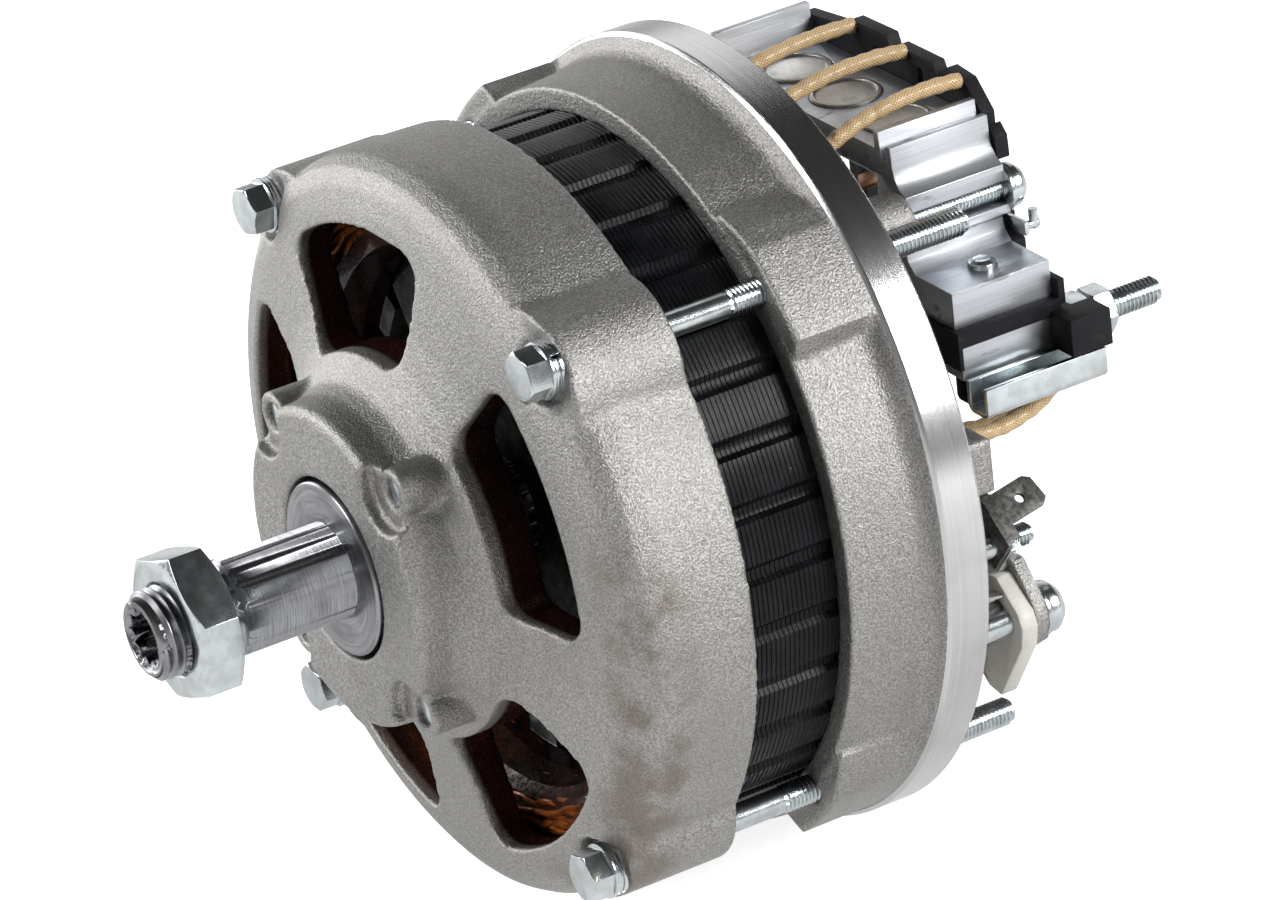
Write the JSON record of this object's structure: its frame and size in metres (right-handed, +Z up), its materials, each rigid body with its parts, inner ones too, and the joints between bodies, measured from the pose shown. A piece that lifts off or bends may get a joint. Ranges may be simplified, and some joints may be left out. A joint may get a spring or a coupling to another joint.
{
  "type": "alternator",
  "caption": "Small engine alternator with spoked cast end shields, a notched stator stack, claw-pole rotor, open rectifier and regulator.",
  "frame": {"origin": "shaft axis at the rear edge of the machined pilot ring", "axes": "+Y along the shaft to the rectifier end, +Z up through the rectifier, +X to the output terminal side"},
  "size_m": [0.1428, 0.1752, 0.1428],
  "materials": {
    "cast_aluminium": "bead-blasted casting, satin where machined",
    "extruded_aluminium": "extruded, drawn along its length",
    "zinc_steel": "bright zinc plating",
    "bare_steel": "ground steel, lightly oiled",
    "bearing_steel": "ground and hardened",
    "black_lamination": "black varnished stack",
    "grey_iron": "forged iron, grey",
    "copper_wire": "varnished copper winding",
    "copper_strip": "plain copper",
    "diode_metal": "dull nickel with a knurled rim",
    "black_plastic": "moulded, matt",
    "black_rubber": "moulded seal",
    "brown_resin": "cast resin",
    "bobbin_plastic": "moulded",
    "nylon": "natural nylon, stained at the inner edge",
    "braided_sleeve": "varnished braid",
    "tinned_steel": "dull tin plating",
    "carbon": "pressed copper carbon"
  },
  "bodies": {
    "housing": {"drive_end_housing": "cast_aluminium", "rear_housing": "cast_aluminium", "stator_core": "black_lamination", "stator_winding": "copper_wire", "through_bolts": "zinc_steel", "bolt_washers": "zinc_steel", "bearing_retainer": "zinc_steel", "retainer_screws": "zinc_steel", "front_bearing_outer": "bearing_steel", "front_bearing_seals": "black_rubber", "rear_bearing_sleeve": "black_plastic", "rear_bearing_outer": "bearing_steel", "negative_heat_sink": "extruded_aluminium", "positive_heat_sink": "extruded_aluminium", "negative_diodes": "diode_metal", "positive_diodes": "diode_metal", "phase_terminals": "copper_strip", "rectifier_carrier": "black_plastic", "insulating_plate": "black_plastic", "sink_rivet": "zinc_steel", "rectifier_screws": "zinc_steel", "rectifier_washers": "zinc_steel", "channel_clip": "zinc_steel", "output_stud": "zinc_steel", "stud_washer": "zinc_steel", "stud_spring_washer": "zinc_steel", "stud_nut": "zinc_steel", "stud_shield": "black_plastic", "phase_leads": "braided_sleeve", "neutral_leads": "braided_sleeve", "solder_tag": "zinc_steel", "brush_box": "black_plastic", "inner_spring": "bearing_steel", "outer_spring": "bearing_steel", "regulator_body": "black_plastic", "regulator_bracket": "cast_aluminium", "nylon_plate": "nylon", "lug_screw": "zinc_steel", "lug_washer": "zinc_steel", "blade_tab": "tinned_steel", "tab_stud_and_nut": "zinc_steel"},
    "rotor": {"rotor_shaft": "bare_steel", "spacer_ring": "bare_steel", "inner_spacer": "bare_steel", "shaft_nut": "zinc_steel", "front_claw_pole": "grey_iron", "rear_claw_pole": "grey_iron", "rotor_core": "grey_iron", "coil_bobbin": "bobbin_plastic", "field_coil": "copper_wire", "slip_ring_insulator": "brown_resin", "slip_rings": "copper_strip", "front_bearing_inner": "bearing_steel", "rear_bearing_inner": "bearing_steel"},
    "front_rollers": {"front_bearing_balls": "bearing_steel", "front_bearing_cage": "bearing_steel"},
    "rear_rollers": {"rear_bearing_balls": "bearing_steel", "rear_bearing_cage": "bearing_steel"},
    "inner_brush_body": {"inner_brush": "carbon"},
    "outer_brush_body": {"outer_brush": "carbon"}
  },
  "joints": [
    {"name": "rotor_spin", "type": "hinge", "parent": "housing", "child": "rotor", "pos_m": [0, 0, 0], "axis": [0, 1, 0], "continuous": true},
    {"name": "front_cage_spin", "type": "hinge", "parent": "housing", "child": "front_rollers", "pos_m": [0, -0.0742, 0], "axis": [0, 1, 0], "continuous": true},
    {"name": "rear_cage_spin", "type": "hinge", "parent": "housing", "child": "rear_rollers", "pos_m": [0, 0, 0], "axis": [0, 1, 0], "continuous": true},
    {"name": "inner_brush_slide", "type": "slide", "parent": "housing", "child": "inner_brush_body", "axis": [0, 0, 1], "range_m": [-0.006, 0], "deforming": ["inner_spring"]},
    {"name": "outer_brush_slide", "type": "slide", "parent": "housing", "child": "outer_brush_body", "axis": [0, 0, 1], "range_m": [-0.006, 0], "deforming": ["outer_spring"]}
  ],
  "couplings": [
    {"joint": "front_cage_spin", "follows": "rotor_spin", "ratio": 0.3638},
    {"joint": "rear_cage_spin", "follows": "rotor_spin", "ratio": 0.3808}
  ]
}
